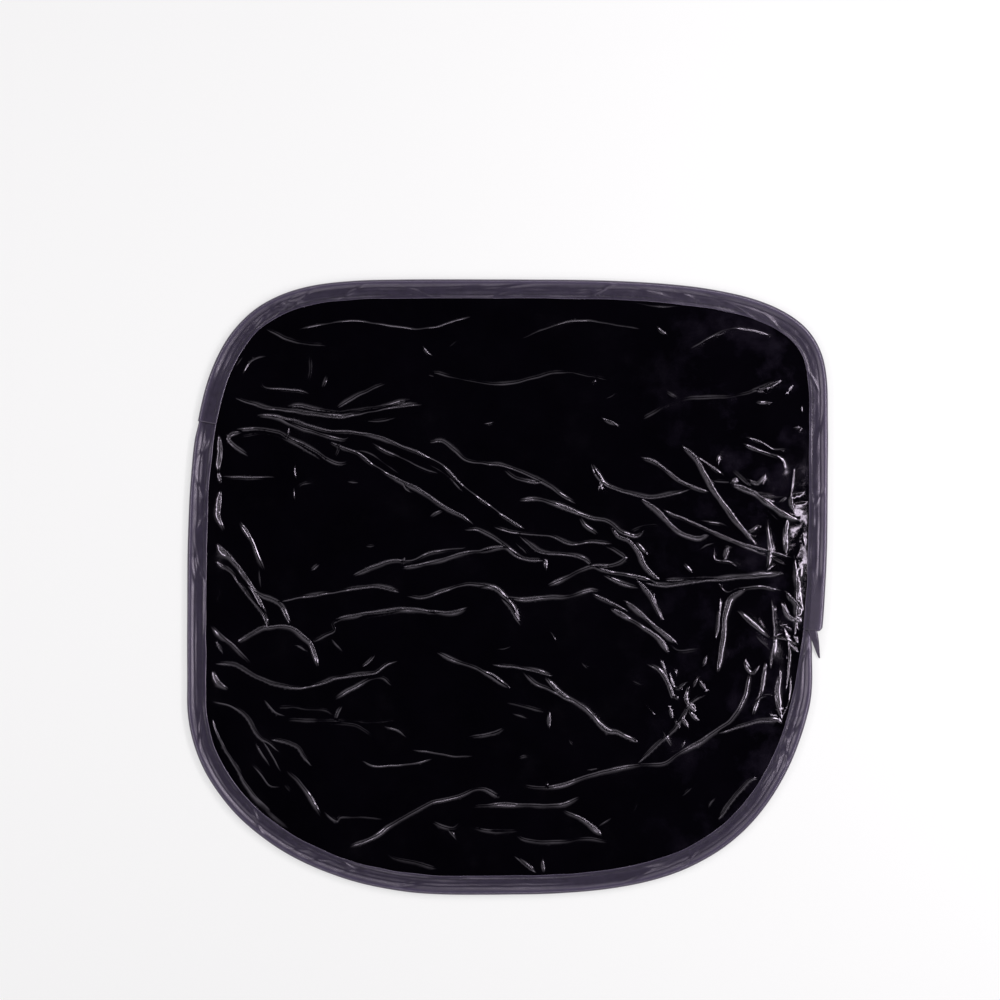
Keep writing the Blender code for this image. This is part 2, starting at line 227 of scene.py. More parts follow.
PLAIN_CREASES = (
    ((237, 398), (251, 403), (269, 408), (296, 411), (322, 415), (343, 416), (373, 411),
     (396, 406), (424, 404)),
    ((288, 407), (302, 406), (318, 410), (343, 412), (380, 407), (410, 400)),
    ((259, 416), (276, 417), (296, 426), (322, 435), (343, 440), (351, 437)),
    ((271, 417), (296, 422), (326, 431), (355, 433), (378, 437), (400, 446), (420, 454),
     (443, 466), (459, 483),
     (482, 501), (506, 518), (523, 529)),
    ((329, 442), (343, 448), (359, 454), (374, 466), (396, 479), (420, 491), (441, 505),
     (463, 517), (473, 525)),
    ((238, 430), (257, 429), (278, 432), (292, 440), (310, 448), (326, 458), (339, 464),
     (349, 462)),
    ((355, 575), (371, 568), (392, 561), (412, 561), (435, 552), (463, 549), (466, 546)),
    ((402, 568), (424, 564), (445, 559), (463, 553), (486, 551), (504, 547), (520, 556)),
    ((278, 602), (298, 597), (326, 593), (355, 588), (378, 586), (398, 591)),
    ((406, 595), (422, 597), (445, 590), (465, 584), (486, 585), (500, 591), (510, 603),
     (518, 615)),
    ((337, 619), (363, 614), (384, 611), (404, 609), (429, 611), (451, 613), (467, 608)),
    ((219, 562), (233, 573), (249, 595), (264, 613), (269, 627)),
    ((241, 523), (251, 538), (261, 562), (265, 572)),
    ((337, 408), (351, 399), (369, 390), (386, 383)),
    ((431, 442), (443, 441), (455, 450), (467, 460), (486, 463), (502, 465), (517, 470),
     (535, 478), (551, 487),
     (565, 497), (576, 503)),
    ((505, 470), (517, 478), (535, 482), (542, 481)),
    ((465, 529), (480, 530), (504, 544), (517, 556), (529, 559), (545, 560)),
    ((496, 527), (514, 532), (533, 534), (553, 536), (572, 544), (590, 541), (611, 543)),
    ((480, 551), (494, 548), (505, 547)),
    ((519, 535), (533, 546), (543, 552), (567, 554), (583, 558), (591, 565)),
    ((549, 585), (567, 577), (583, 569), (595, 566), (613, 565), (625, 558), (618, 552),
     (606, 546)),
    ((521, 500), (537, 499), (553, 503), (572, 510), (588, 517), (606, 520), (621, 531),
     (636, 536), (644, 529)),
    ((579, 515), (584, 524), (597, 534)),
    ((592, 465), (599, 478), (609, 486), (627, 492), (650, 497), (670, 494), (689, 489)),
    ((641, 458), (654, 462), (675, 478), (689, 486), (710, 493)),
    ((664, 511), (680, 518), (703, 528), (728, 539), (751, 547), (778, 554), (798, 560)),
    ((737, 543), (755, 550), (785, 564)),
    ((696, 457), (710, 467), (721, 474)),
    ((732, 470), (749, 485)),
    ((744, 445), (758, 451), (778, 458), (784, 467)),
    ((592, 566), (611, 572), (629, 575), (645, 579), (661, 586)),
    ((604, 575), (622, 583), (638, 587)),
    ((663, 580), (687, 579), (732, 577), (765, 575)),
    ((480, 587), (494, 587), (507, 597), (526, 599), (547, 597), (569, 596), (590, 590),
     (600, 591)),
    ((502, 598), (512, 609), (521, 625)),
    ((592, 594), (609, 602), (627, 611)),
    ((718, 585), (727, 593), (739, 589), (762, 587), (781, 591)),
    ((720, 598), (718, 619), (715, 637)),
    ((669, 674), (673, 686), (681, 689)),
    ((494, 664), (514, 666), (535, 670), (551, 675)),
    ((524, 672), (535, 682), (551, 689), (572, 699)),
    ((480, 670), (494, 676), (509, 687)),
    ((524, 785), (540, 787), (560, 785), (590, 775), (622, 767), (645, 764), (664, 763),
     (680, 752), (700, 741),
     (719, 728), (732, 718), (744, 697), (749, 674)),
    ((719, 732), (737, 726), (760, 720), (776, 719), (783, 725)),
    ((474, 806), (495, 804), (514, 804), (544, 805), (565, 803), (579, 797)),
    ((217, 663), (236, 664), (253, 674), (274, 683), (299, 687), (316, 684), (337, 677),
     (358, 674), (375, 672),
     (388, 663), (398, 660)),
    ((337, 697), (354, 687), (373, 678), (384, 677), (391, 684)),
    ((314, 641), (325, 635), (335, 630), (333, 623), (341, 619)),
    ((270, 739), (283, 740), (297, 745), (304, 754), (311, 764)),
    ((287, 769), (301, 783), (312, 798), (321, 815)),
    ((352, 845), (373, 837), (390, 825), (411, 813), (432, 802), (457, 796), (480, 788),
     (499, 796)),
    ((215, 701), (232, 705), (249, 718), (259, 735), (270, 743), (280, 751)),
    ((211, 625), (222, 636), (234, 646), (245, 657), (253, 667)),
    ((438, 652), (455, 660), (474, 667), (491, 676), (508, 687)),
    ((638, 762), (654, 746), (675, 727), (691, 702), (705, 694)),
    ((779, 672), (776, 697), (781, 720)),
    ((790, 679), (788, 700), (781, 716)),
    ((765, 663), (762, 686), (753, 713)),
    ((719, 817), (732, 798), (749, 780), (762, 779)),
    ((755, 633), (770, 649)),
    ((214, 720), (222, 740), (232, 757), (243, 776), (255, 793), (270, 808)),
    ((772, 600), (775, 632), (771, 668)),
    ((784, 628), (788, 650), (785, 690)),
    ((793, 556), (796, 590), (794, 634)),
    ((766, 520), (769, 552), (766, 572)),
    ((793, 470), (790, 500), (793, 512)),
)
FAINT_CREASES = (
    ((371, 443), (384, 451), (404, 460), (424, 470), (438, 474)),
    ((429, 464), (445, 473), (463, 491)),
    ((355, 451), (369, 454), (384, 464), (400, 475)),
    ((240, 437), (257, 434), (273, 434), (292, 442), (314, 454), (324, 462)),
    ((222, 477), (247, 478), (276, 478)),
    ((260, 567), (262, 589)),
    ((365, 419), (367, 421), (384, 420), (400, 416)),
    ((261, 381), (265, 388), (282, 390), (298, 391), (310, 395)),
    ((311, 356), (311, 371), (308, 384)),
    ((298, 489), (302, 484), (314, 482)),
    ((348, 481), (359, 482)),
    ((312, 570), (319, 564)),
    ((235, 369), (244, 357)),
    ((244, 374), (253, 362), (267, 357)),
    ((514, 540), (524, 550), (528, 555)),
    ((629, 532), (645, 526), (661, 525)),
    ((698, 521), (714, 523), (730, 528)),
    ((710, 480), (723, 481), (736, 482)),
    ((768, 512), (780, 523)),
    ((751, 493), (774, 496), (790, 494), (803, 492)),
    ((713, 552), (715, 560), (728, 562), (737, 567)),
    ((667, 642), (677, 651), (698, 649)),
    ((505, 701), (530, 707), (547, 712)),
    ((480, 736), (494, 733), (504, 728)),
    ((548, 630), (555, 640)),
    ((581, 661), (588, 668)),
    ((598, 825), (612, 816)),
    ((480, 830), (501, 830), (519, 830)),
    ((517, 835), (528, 840), (556, 841), (588, 838), (606, 841)),
    ((480, 789), (494, 793), (503, 795)),
    ((586, 769), (599, 767)),
    ((668, 751), (682, 748)),
    ((747, 438), (762, 444), (774, 450), (786, 450)),
    ((296, 466), (297, 478)),
    ((295, 487), (296, 500)),
    ((752, 716), (759, 697), (776, 695)),
    ((333, 639), (344, 652)),
    ((358, 618), (390, 613), (413, 609), (438, 614)),
    ((266, 700), (276, 711), (285, 715)),
    ((276, 707), (291, 706), (308, 708), (325, 709), (335, 715)),
    ((286, 722), (293, 719), (320, 720), (350, 720), (375, 721), (403, 719)),
    ((316, 722), (337, 723), (354, 724), (365, 730), (375, 738)),
    ((386, 726), (398, 729), (406, 736)),
    ((459, 740), (474, 736), (489, 734), (506, 727)),
    ((413, 749), (432, 751), (455, 755), (473, 755)),
    ((363, 760), (375, 765), (396, 764), (415, 762), (432, 758)),
    ((257, 743), (271, 766)),
    ((264, 741), (274, 756), (281, 770)),
    ((251, 762), (262, 773), (270, 784), (280, 786)),
    ((285, 783), (292, 791)),
    ((325, 811), (337, 820), (341, 816), (365, 816), (384, 818)),
    ((432, 821), (452, 828), (461, 822), (472, 827), (493, 831), (506, 831)),
    ((386, 850), (394, 857), (417, 862), (438, 868)),
    ((300, 330), (352, 322), (420, 330), (470, 318)),
    ((250, 318), (290, 340), (330, 346)),
    ((430, 372), (500, 384), (560, 372), (610, 380)),
    ((520, 340), (575, 322), (640, 330)),
    ((640, 420), (680, 400), (735, 396), (780, 380)),
    ((690, 350), (730, 330), (770, 336)),
    ((620, 300), (665, 308), (720, 300)),
)
SOFT_FOLDS = (
    ((779, 440), (782, 520), (779, 560)),
    ((786, 580), (778, 640), (772, 700), (746, 768)),
    ((796, 470), (799, 560), (792, 640)),
    ((215, 705), (232, 735), (243, 760), (256, 790), (276, 815), (300, 835)),
    ((230, 520), (227, 566), (226, 620), (223, 660)),
    ((584, 476), (590, 484), (599, 494), (615, 513)),
    ((672, 797), (700, 790), (735, 765)),
    ((705, 694), (718, 670), (722, 650)),
    ((745, 450), (760, 480), (772, 520)),
)

# How high each kind stands, how fast its sides fall away, and how round its crest is
CREASE_KINDS = (
    (TALL_CREASES, 0.00115, 0.0010, 0.00022),
    (SHORT_CREASES, 0.00090, 0.0007, 0.00018),
    (PLAIN_CREASES, 0.00085, 0.0011, 0.00028),
    (FAINT_CREASES, 0.00055, 0.0010, 0.00030),
)
FOLD_HEIGHT = 0.0008
FOLD_HALF_WIDTH = 0.0085
FLECKS = 70
LOWEST_FLECK, HIGHEST_FLECK = 0.0004, 0.0009
FLECK_FALL, FLECK_CREST = 0.0008, 0.00020
FAINT_BELOW = 0.0007
CREASE_TAPER = 0.007
CREASE_STEP = 0.0016
CREST_ROWS = (0.0, 0.00028, 0.0006, 0.0010)
FOOT_ROWS = (0.0016, 0.0026)
FAINT_ROWS = (0.0, 0.00032, 0.0008, 0.0018)
CREASE_LEAN = 0.5
ROWS_BY_TAPE = (-0.0008, 0.0003, 0.0012, 0.0022, 0.0034, 0.0048)
ROOM_BY_TAPE = 0.0009
ROWS_UNDER_TAPE = 0.004
NET_UNDER_TAPE = 0.0065
FILM_STATION_STEP = 0.0022
FOLD_STEP = 0.004
FOLD_TAPER = 0.02
CREASE_FADE = 0.005
LEAST_SPACING = 0.00022
OPEN_SPACING = 0.0042
WANDER = 0.0005
WANDER_FADE = 0.004
BROAD_WAVE = 0.00030
FINE_WAVE = 0.00012
RIGHT_WAVE, RIGHT_WAVE_FROM = 0.0016, 0.08


def smooth(share):
    """0 below 0, 1 above 1, and a soft step between."""
    share = np.clip(share, 0.0, 1.0)
    return share * share * (3 - 2 * share)


def outline_point(angle):
    """A point of the shade's outer edge, anticlockwise from its rightmost point."""
    across, up = math.cos(angle), math.sin(angle)
    if across >= 0:
        reach = SHADE_WIDTH - LEVEL_FROM_LEFT
        widest = SHADE_HEIGHT - RIGHT_WIDEST_BELOW_TOP
        fullness = UPPER_RIGHT_FULLNESS if up >= 0 else LOWER_RIGHT_FULLNESS
    else:
        reach = LEVEL_FROM_LEFT
        widest = LEFT_WIDEST_ABOVE_BOTTOM
        fullness = UPPER_LEFT_FULLNESS if up >= 0 else LOWER_LEFT_FULLNESS
    rise = SHADE_HEIGHT - widest if up >= 0 else widest
    x = math.copysign(reach * abs(across) ** (2 / fullness), across)
    y = math.copysign(rise * abs(up) ** (2 / fullness), up)
    return LEVEL_FROM_LEFT + x - SHADE_WIDTH / 2, widest + y - SHADE_HEIGHT / 2


edge = np.array([outline_point(2 * math.pi * i / OUTLINE_SAMPLES) for i in range(OUTLINE_SAMPLES)])
right_lap = min((i for i in range(len(edge)) if edge[i, 0] > 0),
                key=lambda i: abs(edge[i, 1] - RIGHT_LAP_ABOVE_BOTTOM + SHADE_HEIGHT / 2))
edge = np.roll(edge, -right_lap, axis=0)
edge = np.vstack([edge, edge[:1]])
walked = np.concatenate([[0.0], np.cumsum(np.linalg.norm(np.diff(edge, axis=0), axis=1))])
ROUND = walked[-1]
left_lap = min((i for i in range(len(edge)) if edge[i, 0] < 0),
               key=lambda i: abs(edge[i, 1] - SHADE_HEIGHT / 2 + LEFT_LAP_BELOW_TOP))
LEFT_LAP = walked[left_lap]


def rim_at(along):
    """Places of the outer edge at distances anticlockwise from the right lap, and the ways inward."""
    reach = 0.003
    place, before, after = (
        np.column_stack([np.interp((along + shift) % ROUND, walked, edge[:, k]) for k in (0, 1)])
        for shift in (0.0, -reach, reach)
    )
    ahead = after - before
    ahead /= np.linalg.norm(ahead, axis=1)[:, None]
    return place, np.column_stack([-ahead[:, 1], ahead[:, 0]])


def wire_inset(along):
    """How far in from the edge the wire runs: drawn in at the right lap."""
    away = np.minimum(along % ROUND, -along % ROUND)
    return FOLD_RADIUS + WIRE_DIP * np.cos(math.pi / 2 * np.minimum(away / DIP_REACH, 1)) ** 2


def from_pixels(chain):
    """A chain of the photograph's pixels as places on the shade."""
    return np.array([((x - MIDDLE_PIXEL[0]) * PIXEL, (MIDDLE_PIXEL[1] - y) * PIXEL) for x, y in chain])


def drawn_out(chain, step):
    """A chain as a smooth line through its points, with a point each step and a slight wander."""
    points = np.vstack([2 * chain[0] - chain[1], chain, 2 * chain[-1] - chain[-2]])
    line = []
    for a, b, c, d in zip(points, points[1:], points[2:], points[3:]):
        for share in np.arange(0, 1, min(1.0, 0.25 * step / np.linalg.norm(c - b))):
            square, cube = share ** 2, share ** 3
            line.append(0.5 * (2 * b + (c - a) * share + (2 * a - 5 * b + 4 * c - d) * square
                               + (3 * b - a - 3 * c + d) * cube))
    line = np.array(line + [chain[-1]])
    lengths = np.concatenate([[0.0], np.cumsum(np.linalg.norm(np.diff(line, axis=0), axis=1))])
    even = np.linspace(0, lengths[-1], max(3, round(lengths[-1] / step) + 1))
    line = np.column_stack([np.interp(even, lengths, line[:, k]) for k in (0, 1)])
    along = np.gradient(line, axis=0)
    along /= np.linalg.norm(along, axis=1)[:, None]
    across = np.column_stack([-along[:, 1], along[:, 0]])
    drift = np.array([noise.noise(Vector((x * 130, y * 130, 3.1))) for x, y in line])
    drift *= np.minimum(1, np.minimum(even, lengths[-1] - even) / WANDER_FADE)
    return line + across * (drift * WANDER)[:, None], across, even


def near_line(places, line):
    """How far each place is from a line, how far along it the nearest point is, and on which side."""
    nearest, along, left = np.full(len(places), np.inf), np.zeros(len(places)), np.ones(len(places))
    start, walked_so_far = line[0], 0.0
    for end in line[1:]:
        way = end - start
        length = np.linalg.norm(way)
        share = np.clip((places - start) @ way / length ** 2, 0, 1)
        away = np.linalg.norm(places - start - share[:, None] * way, axis=1)
        closer = away < nearest
        nearest[closer] = away[closer]
        along[closer] = walked_so_far + share[closer] * length
        turned = way[0] * (places[closer, 1] - start[1]) - way[1] * (places[closer, 0] - start[0])
        left[closer] = np.where(turned >= 0, 1.0, -1.0)
        start, walked_so_far = end, walked_so_far + length
    return nearest, along, left


film_stations = np.linspace(0, ROUND, round(ROUND / FILM_STATION_STEP), endpoint=False)
rim_places, rim_inward = rim_at(film_stations)
film_edge = rim_places + rim_inward * (wire_inset(film_stations) + FILM_EDGE_FROM_WIRE)[:, None]
tape_edge = rim_places + rim_inward * RIM_WIDTH
creases = [(*drawn_out(from_pixels(chain), CREASE_STEP), height, fall, crest)
           for chains, height, fall, crest in CREASE_KINDS for chain in chains]

# Short flecks, thicker towards the right, where the film was crushed most
chance = np.random.default_rng(11)
for _ in range(FLECKS):
    x = SHADE_WIDTH * (0.46 - 0.9 * chance.random() ** 1.8)
    y = SHADE_HEIGHT * (0.9 * chance.random() - 0.46)
    turn, length = chance.uniform(0.6, 2.4) * math.pi, chance.uniform(0.004, 0.011)
    spots = [(x + s * length * math.cos(turn + bend * s), y + s * length * math.sin(turn + bend * s))
             for bend in (chance.uniform(-0.5, 0.5),) for s in (0.0, 0.5, 1.0)]
    creases.append((*drawn_out(np.array(spots), CREASE_STEP),
                    chance.uniform(LOWEST_FLECK, HIGHEST_FLECK), FLECK_FALL, FLECK_CREST))
folds = [drawn_out(from_pixels(chain), FOLD_STEP)[0] for chain in SOFT_FOLDS]


def inside(places, border):
    """Whether each place is inside a closed border."""
    within = np.zeros(len(places), bool)
    for (x0, y0), (x1, y1) in zip(border, np.roll(border, -1, axis=0)):
        crossed = (y0 > places[:, 1]) != (y1 > places[:, 1])
        with np.errstate(divide="ignore", invalid="ignore"):
            within ^= crossed & (places[:, 0] < (x1 - x0) * (places[:, 1] - y0) / (y1 - y0) + x0)
    return within


# The sheet's points: its cut edge, rows along each crease, then an open net between
points, taken = [tuple(p) for p in film_edge], {}


def has_room(x, y, spacing):
    """Whether no point taken so far is nearer than the spacing."""
    column, row = int(x // LEAST_SPACING), int(y // LEAST_SPACING)
    reach = math.ceil(spacing / LEAST_SPACING)
    return not any(math.hypot(x - u, y - v) < spacing
                   for i in range(column - reach, column + reach + 1)
                   for j in range(row - reach, row + reach + 1)
                   for u, v in taken.get((i, j), ()))


def take(x, y):
    """Add a point to the sheet."""
    taken.setdefault((int(x // LEAST_SPACING), int(y // LEAST_SPACING)), []).append((x, y))
    points.append((x, y))


# The crests' points are joined, so that each crest is an edge of the net
seams = []
bound = tape_edge - rim_inward * ROWS_UNDER_TAPE
for row in CREST_ROWS + FOOT_ROWS + FAINT_ROWS[1:]:
    for line, across, _, height, *_ in creases:
        rows = FAINT_ROWS if height < FAINT_BELOW else CREST_ROWS + FOOT_ROWS
        if row not in rows:
            continue
        every = 2 if row in FOOT_ROWS + FAINT_ROWS[3:] else 1
        for side in (1.0, -1.0) if row else (0.0,):
            shifted = line[::every] + across[::every] * row * side
            last = None
            for (x, y), good in zip(shifted, inside(shifted, bound)):
                fresh = good and has_room(x, y, LEAST_SPACING + 0.1 * row)
                if fresh:
                    take(x, y)
                if row == 0 and fresh and last is not None:
                    seams.append((last, len(points) - 1))
                last = len(points) - 1 if fresh else None
for row in ROWS_BY_TAPE:
    for x, y in tape_edge + rim_inward * row:
        if has_room(x, y, ROOM_BY_TAPE):
            take(x, y)
net = [(x + (0.5 * OPEN_SPACING if k % 2 else 0.0), y)
       for k, y in enumerate(np.arange(-SHADE_HEIGHT / 2, SHADE_HEIGHT / 2, OPEN_SPACING * 0.866))
       for x in np.arange(-SHADE_WIDTH / 2, SHADE_WIDTH / 2, OPEN_SPACING)]
kept = inside(np.array(net), tape_edge - rim_inward * NET_UNDER_TAPE)
for (x, y), good in zip(net, kept):
    if good and has_room(x, y, OPEN_SPACING * 0.4):
        take(x, y)

whole_edge = [list(range(len(film_edge)))]
flat, _, faces, *_ = delaunay_2d_cdt([Vector(p) for p in points], seams, whole_edge, 1, 1e-5)
flat = np.array([tuple(p) for p in flat])

# Each crease lifts the points beside it, and where creases cross, the higher one counts
lift_cubed = np.zeros(len(flat))
for line, _, even, height, fall, crest in creases:
    reach = fall * 6
    low, high = line.min(axis=0) - reach, line.max(axis=0) + reach
    near = np.flatnonzero(((flat > low) & (flat < high)).all(axis=1))
    away, along, left = near_line(flat[near], line)
    ends = np.minimum(along, even[-1] - along)
    full = np.sqrt(smooth(0.25 + 0.75 * ends / min(CREASE_TAPER, even[-1] / 2)))
    full *= np.array([0.85 + 0.55 * noise.noise(Vector((a * 75, line[0, 0] * 50, line[0, 1] * 50)))
                      for a in along])
    falls = fall * np.array([1 + 0.5 * noise.noise(Vector((a * 70, line[0, 1] * 90, 1.7)))
                             for a in along])
    lean = CREASE_LEAN * math.tanh(6 * noise.noise(Vector((line[0, 0] * 70, line[0, 1] * 70, 6.1))))
    falls *= 1 + lean * left
    ridge = height * full * np.exp(-(np.hypot(away, crest) - crest) / falls)
    ridge[away > fall * 5] = 0
    lift_cubed[near] += ridge ** 3
lift = np.cbrt(lift_cubed)
for line in folds:
    low, high = line.min(axis=0) - FOLD_HALF_WIDTH, line.max(axis=0) + FOLD_HALF_WIDTH
    near = np.flatnonzero(((flat > low) & (flat < high)).all(axis=1))
    away, along, _ = near_line(flat[near], line)
    full = smooth(np.minimum(along, along.max() - along) / FOLD_TAPER)
    full *= np.array([0.65 + 1.1 * noise.noise(Vector((x * 110, y * 60, 8.8))) for x, y in flat[near]])
    swell = 0.5 + 0.5 * np.cos(math.pi * np.minimum(away / FOLD_HALF_WIDTH, 1))
    lift[near] += FOLD_HEIGHT * full * swell
waves = np.array([BROAD_WAVE * noise.noise(Vector((x * 14, y * 20, 0.7)))
                  + (FINE_WAVE + RIGHT_WAVE * max(0.0, x - RIGHT_WAVE_FROM))
                  * noise.noise(Vector((x * 75, y * 45, 5.2)))
                  for x, y in flat])
from_tape = near_line(flat, np.vstack([tape_edge, tape_edge[:1]]))[0]
from_tape[~inside(flat, tape_edge)] = 0
places = np.column_stack([flat, MID_HEIGHT + (lift + waves) * smooth(from_tape / CREASE_FADE)])
mesh = bpy.data.meshes.new("cling_film")
mesh.from_pydata(places.tolist(), [], faces)
mesh.shade_smooth()
cling_film = bpy.data.objects.new("cling_film", mesh)
bpy.context.scene.collection.objects.link(cling_film)
sheet_wall = cling_film.modifiers.new("film thickness", "SOLIDIFY")
sheet_wall.thickness = FILM_THICKNESS
sheet_wall.offset = 0.0
bpy.context.view_layer.objects.active = cling_film
bpy.ops.object.modifier_apply(modifier=sheet_wall.name)

vinyl, nodes, links = new_material("black_cling_vinyl")
shader = nodes["Principled BSDF"]
shader.inputs["IOR"].default_value = 1.57
shader.inputs["Specular IOR Level"].default_value = 0.85
shader.inputs["Specular Tint"].default_value = (0.94, 0.85, 1.0, 1.0)
places = nodes.new("ShaderNodeTexCoord").outputs["Object"]
haze = add_noise(nodes, links, places, 26.0, 4.0, 0.6)
patches = add_noise(nodes, links, places, 34.0, 5.0, 0.62)
# Pale cloudy patches over the right part of the film, where the right lamps stand: a painted glare,
# lighter than the black vinyl.
sides = nodes.new("ShaderNodeSeparateXYZ")
links.new(places, sides.inputs["Vector"])
glare_mask = nodes.new("ShaderNodeMath")
glare_mask.operation = "MULTIPLY"
links.new(add_range(nodes, links, sides.outputs["X"], 0.07, 0.16, 0.0, 1.0), glare_mask.inputs[0])
links.new(add_range(nodes, links, patches, 0.50, 0.66, 0.0, 1.0), glare_mask.inputs[1])
painted_glare = nodes.new("ShaderNodeMix")
painted_glare.data_type = "RGBA"
painted_glare.inputs["B"].default_value = (0.006, 0.0045, 0.009, 1.0)
links.new(glare_mask.outputs["Value"], painted_glare.inputs["Factor"])
blacks = add_colours(nodes, links, haze, (0.3, (0.0009, 0.0006, 0.0016)),
                     (0.75, (0.0017, 0.0012, 0.0028)))
links.new(blacks, painted_glare.inputs["A"])
links.new(painted_glare.outputs["Result"], shader.inputs["Base Color"])
links.new(add_range(nodes, links, patches, 0.5, 0.72, 0.08, 0.18), shader.inputs["Roughness"])
ripple = add_bump(nodes, links, add_noise(nodes, links, places, 190.0, 3.0), 0.00012, 0.5)
grit = add_noise(nodes, links, places, 1500.0, 2.0)
links.new(add_bump(nodes, links, grit, 0.00001, 0.5, ripple), shader.inputs["Normal"])
cling_film.data.materials.append(vinyl)
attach(cling_film, "root")
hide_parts("film_panel")
across, up = film_edge.T


# Binding tape. Real piece: two lengths of black woven polyester tape 26 mm wide, each folded over
# the wire and the film's edge. The upper length's ends lap over the lower length's ends, one high
# on the left and one low on the right, where the rim is drawn in.

TAPE_THICKNESS = 0.0004
TUCKED_RADIUS = 0.0013
LEAF_HEIGHT = 0.000825
LAPPED_LEAF_HEIGHT = 0.001525
TUCK = 0.0252
OPENING_OUT = 0.0126
LEAF_ROWS = 20
NOSE_ROWS = 8
TAPE_STEP = 0.0011
STITCH_INSET = 0.0098
STITCH_PITCH = 0.0031
STITCH_DIMPLE = 0.0002
EDGE_WANDER, NOSE_WANDER = 0.0004, 0.00015
BULGE_BY_WIRE = 0.00022
LENGTHWISE_RIPPLE, SLANTING_RIPPLE = 0.00034, 0.00030
PUCKERS = 110
PUCKER_WIDTH = 0.0008
YARN_PITCH = 0.00062
END_PITCH = 0.00042
CORNER_ROUNDING = 0.003
MOUTH_FROM, MOUTH_FADE, MOUTH_PINCH = 0.022, 0.02, 0.0006

# Small slanting folds: each one's place along the rim, reach, height, slant, inset and face
chance = np.random.default_rng(5)
puckers = [(ROUND * chance.random(), chance.uniform(0.004, 0.012), chance.uniform(0.0002, 0.0006),
            chance.uniform(-0.6, 0.6), chance.uniform(0.004, 0.010), 1.0 if k % 2 else -1.0)
           for k in range(PUCKERS)]


def ripples(along, inset, side, scale_along, scale_across):
    """A pattern of small folds in the tape, from -1 to 1."""
    return np.array([noise.noise(Vector((a * scale_along, i * scale_across, s * 7.3)))
                     for a, i, s in np.broadcast(along, inset, side)])


def tape_face(along, share, side, upper):
    """One leaf of a length of tape, from the fold's top (share 0) to its free edge (share 1).

    Gives the wire's inset, each point's inset, its height over the film's middle plane and the
    fold's radius.
    """
    # Where this length lies over the other, where it is tucked in, and where its cut end stands open
    lapped, tucked, mouth = 0 * along, 0 * along, 0 * along
    wire_at = wire_inset(along)
    if upper:
        wire_at = np.full(len(along), FOLD_RADIUS)
        lapped = 1 - smooth((np.minimum(along, LEFT_LAP - along) - TUCK) / OPENING_OUT)
        mouth = 1 - smooth((along - MOUTH_FROM) / MOUTH_FADE)
    else:
        tucked = 1 - smooth(np.minimum(along - LEFT_LAP, ROUND - along) / OPENING_OUT)
    radius = FOLD_RADIUS + (TUCKED_RADIUS - FOLD_RADIUS) * tucked
    free_edge = RIM_WIDTH + EDGE_WANDER * ripples(along, 0 * along, side, 60, 1)
    inset = wire_at + share * (free_edge - wire_at)
    run = inset - wire_at
    settled = LEAF_HEIGHT + (LAPPED_LEAF_HEIGHT - LEAF_HEIGHT) * lapped
    height = radius + (settled - radius) * smooth(run / 0.0034)
    calm = (1 - lapped) * (1 - tucked)
    relief = BULGE_BY_WIRE * np.sin(math.pi * np.clip((run - 0.0032) / 0.0040, 0, 1))
    relief += LENGTHWISE_RIPPLE * ripples(along, inset, side, 22, 430) * smooth(run / 0.003)
    slanting = ripples(along + 0.8 * inset, inset, side + 2, 90, 190)
    relief += SLANTING_RIPPLE * slanting * smooth((run - 0.001) / 0.004)
    for middle, reach, depth, slant, at_inset, facing in puckers:
        away = (along - middle + ROUND / 2) % ROUND - ROUND / 2
        near = np.flatnonzero((np.abs(away) < 2.5 * reach) & (side == facing))
        across = (inset[near] - at_inset) - slant * away[near]
        relief[near] += depth * np.exp(-(away[near] / reach) ** 2 - (across / PUCKER_WIDTH) ** 2)
    height += relief * calm
    dimple = 0.6 + 0.4 * np.cos(2 * math.pi * along / STITCH_PITCH)
    height -= STITCH_DIMPLE * (1 - smooth(np.abs(inset - STITCH_INSET) / 0.0010)) * dimple * calm
    height[side < 0] = np.minimum(height[side < 0], FOLD_RADIUS)
    flat_box = FOLD_RADIUS - MOUTH_PINCH * smooth((inset - 0.0088) / 0.003)
    return wire_at, inset, height + (flat_box - height) * mouth, radius


